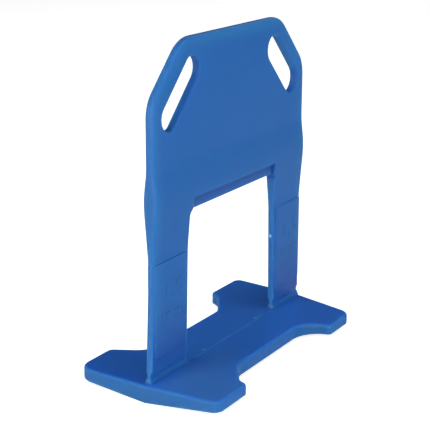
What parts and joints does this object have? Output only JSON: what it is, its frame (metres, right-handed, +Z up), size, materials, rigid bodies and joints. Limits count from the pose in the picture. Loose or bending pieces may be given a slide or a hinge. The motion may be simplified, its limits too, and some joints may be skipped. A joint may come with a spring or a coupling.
{
  "type": "tile levelling clip",
  "caption": "Thin plastic plate on a shallow keeled base, with a wedge window between its legs and slanted slots in its head, which holds floor or wall tiles level.",
  "frame": {"origin": "on the keel line of the base, below the middle of the plate, which is the centre of the footprint", "axes": "+X along the plate's width, +Y through the plate from its front face to its back face, +Z up from the base to the head"},
  "size_m": [0.0562, 0.0289, 0.06],
  "materials": {
    "clip_plastic": "semi-matt blue injection-moulded polypropylene"
  },
  "bodies": {
    "root": {"levelling_clip": "clip_plastic"}
  },
  "joints": []
}
